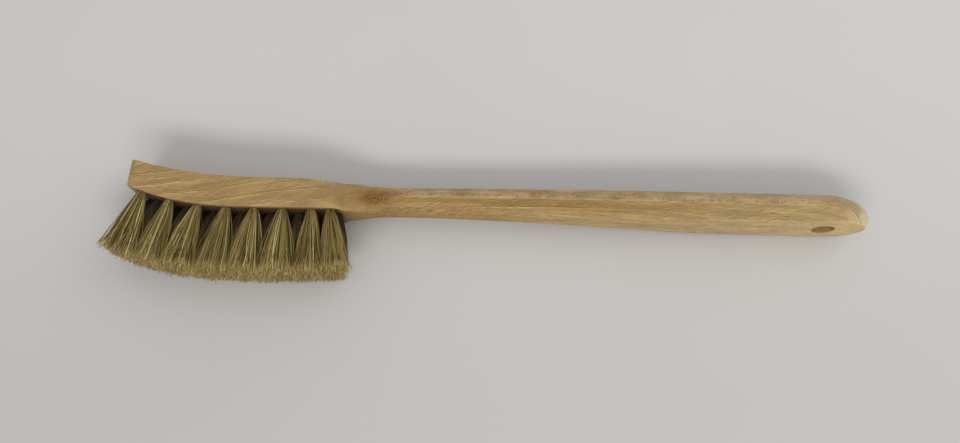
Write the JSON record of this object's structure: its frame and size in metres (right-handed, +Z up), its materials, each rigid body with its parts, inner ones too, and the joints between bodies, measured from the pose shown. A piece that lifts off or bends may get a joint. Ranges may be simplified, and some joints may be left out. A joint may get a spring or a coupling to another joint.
{
  "type": "dish brush",
  "caption": "Long-handled wooden dish brush with fanned tufts of natural hair stapled into a slim curved head and a hanging hole in the handle.",
  "frame": {"origin": "on the surface that the brush lies on, under the middle of its bounding box", "axes": "+X from the toe of the head to the hanging end of the handle; +Y out of the back of the brush, the hair points to -Y; +Z up, across the brush, with the head lying on its flat side"},
  "size_m": [0.3054, 0.0446, 0.0245],
  "materials": {
    "beech": "untreated, sanded beech with open grain and short ray flecks",
    "horsehair": "stiff natural hair, greenish beige, softly glossy",
    "staple_wire": "plain drawn wire"
  },
  "bodies": {
    "root": {"brush_body": "beech", "tuft_01": "horsehair", "tuft_02": "horsehair", "tuft_03": "horsehair", "tuft_04": "horsehair", "tuft_05": "horsehair", "tuft_06": "horsehair", "tuft_07": "horsehair", "tuft_08": "horsehair", "tuft_09": "horsehair", "tuft_10": "horsehair", "tuft_11": "horsehair", "tuft_12": "horsehair", "tuft_13": "horsehair", "tuft_14": "horsehair", "tuft_15": "horsehair", "tuft_16": "horsehair", "tuft_17": "horsehair", "tuft_18": "horsehair", "tuft_19": "horsehair", "tuft_20": "horsehair", "tuft_21": "horsehair", "tuft_22": "horsehair", "tuft_23": "horsehair", "tuft_24": "horsehair", "tuft_25": "horsehair", "tuft_26": "horsehair", "tuft_27": "horsehair", "tuft_28": "horsehair", "tuft_29": "horsehair", "staple_01": "staple_wire", "staple_02": "staple_wire", "staple_03": "staple_wire", "staple_04": "staple_wire", "staple_05": "staple_wire", "staple_06": "staple_wire", "staple_07": "staple_wire", "staple_08": "staple_wire", "staple_09": "staple_wire", "staple_10": "staple_wire", "staple_11": "staple_wire", "staple_12": "staple_wire", "staple_13": "staple_wire", "staple_14": "staple_wire", "staple_15": "staple_wire", "staple_16": "staple_wire", "staple_17": "staple_wire", "staple_18": "staple_wire", "staple_19": "staple_wire", "staple_20": "staple_wire", "staple_21": "staple_wire", "staple_22": "staple_wire", "staple_23": "staple_wire", "staple_24": "staple_wire", "staple_25": "staple_wire", "staple_26": "staple_wire", "staple_27": "staple_wire", "staple_28": "staple_wire", "staple_29": "staple_wire"}
  },
  "joints": []
}
